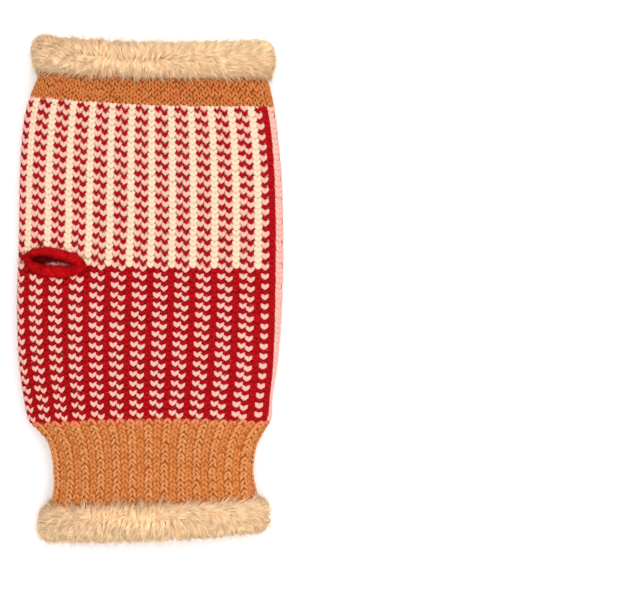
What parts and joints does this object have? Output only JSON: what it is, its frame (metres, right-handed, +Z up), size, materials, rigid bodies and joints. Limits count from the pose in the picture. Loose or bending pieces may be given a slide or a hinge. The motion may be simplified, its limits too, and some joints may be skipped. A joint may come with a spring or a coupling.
{
  "type": "wrist warmer",
  "caption": "Lined knitted wrist warmer with a thumb slit, a ribbed cuff and a plush trim at each mouth, lying flat.",
  "frame": {"origin": "under the middle of the warmer, on the surface it lies on", "axes": "+X across the hand with the thumb slit on the -X side, +Y from the wrist to the fingers, +Z up from the surface through the warmer's thickness"},
  "size_m": [0.1147, 0.2193, 0.0313],
  "materials": {
    "camel_wool": "matte knitted wool",
    "cream_wool": "matte knitted wool",
    "red_wool": "matte knitted wool",
    "fleece": "soft short pile",
    "plush": "soft long pile"
  },
  "bodies": {
    "root": {"finger_band": "camel_wool", "cream_hand": "cream_wool", "red_hand": "red_wool", "wrist_rib": "camel_wool", "lining": "fleece", "thumb_edging": "red_wool", "finger_trim": "plush", "wrist_trim": "plush"}
  },
  "joints": []
}
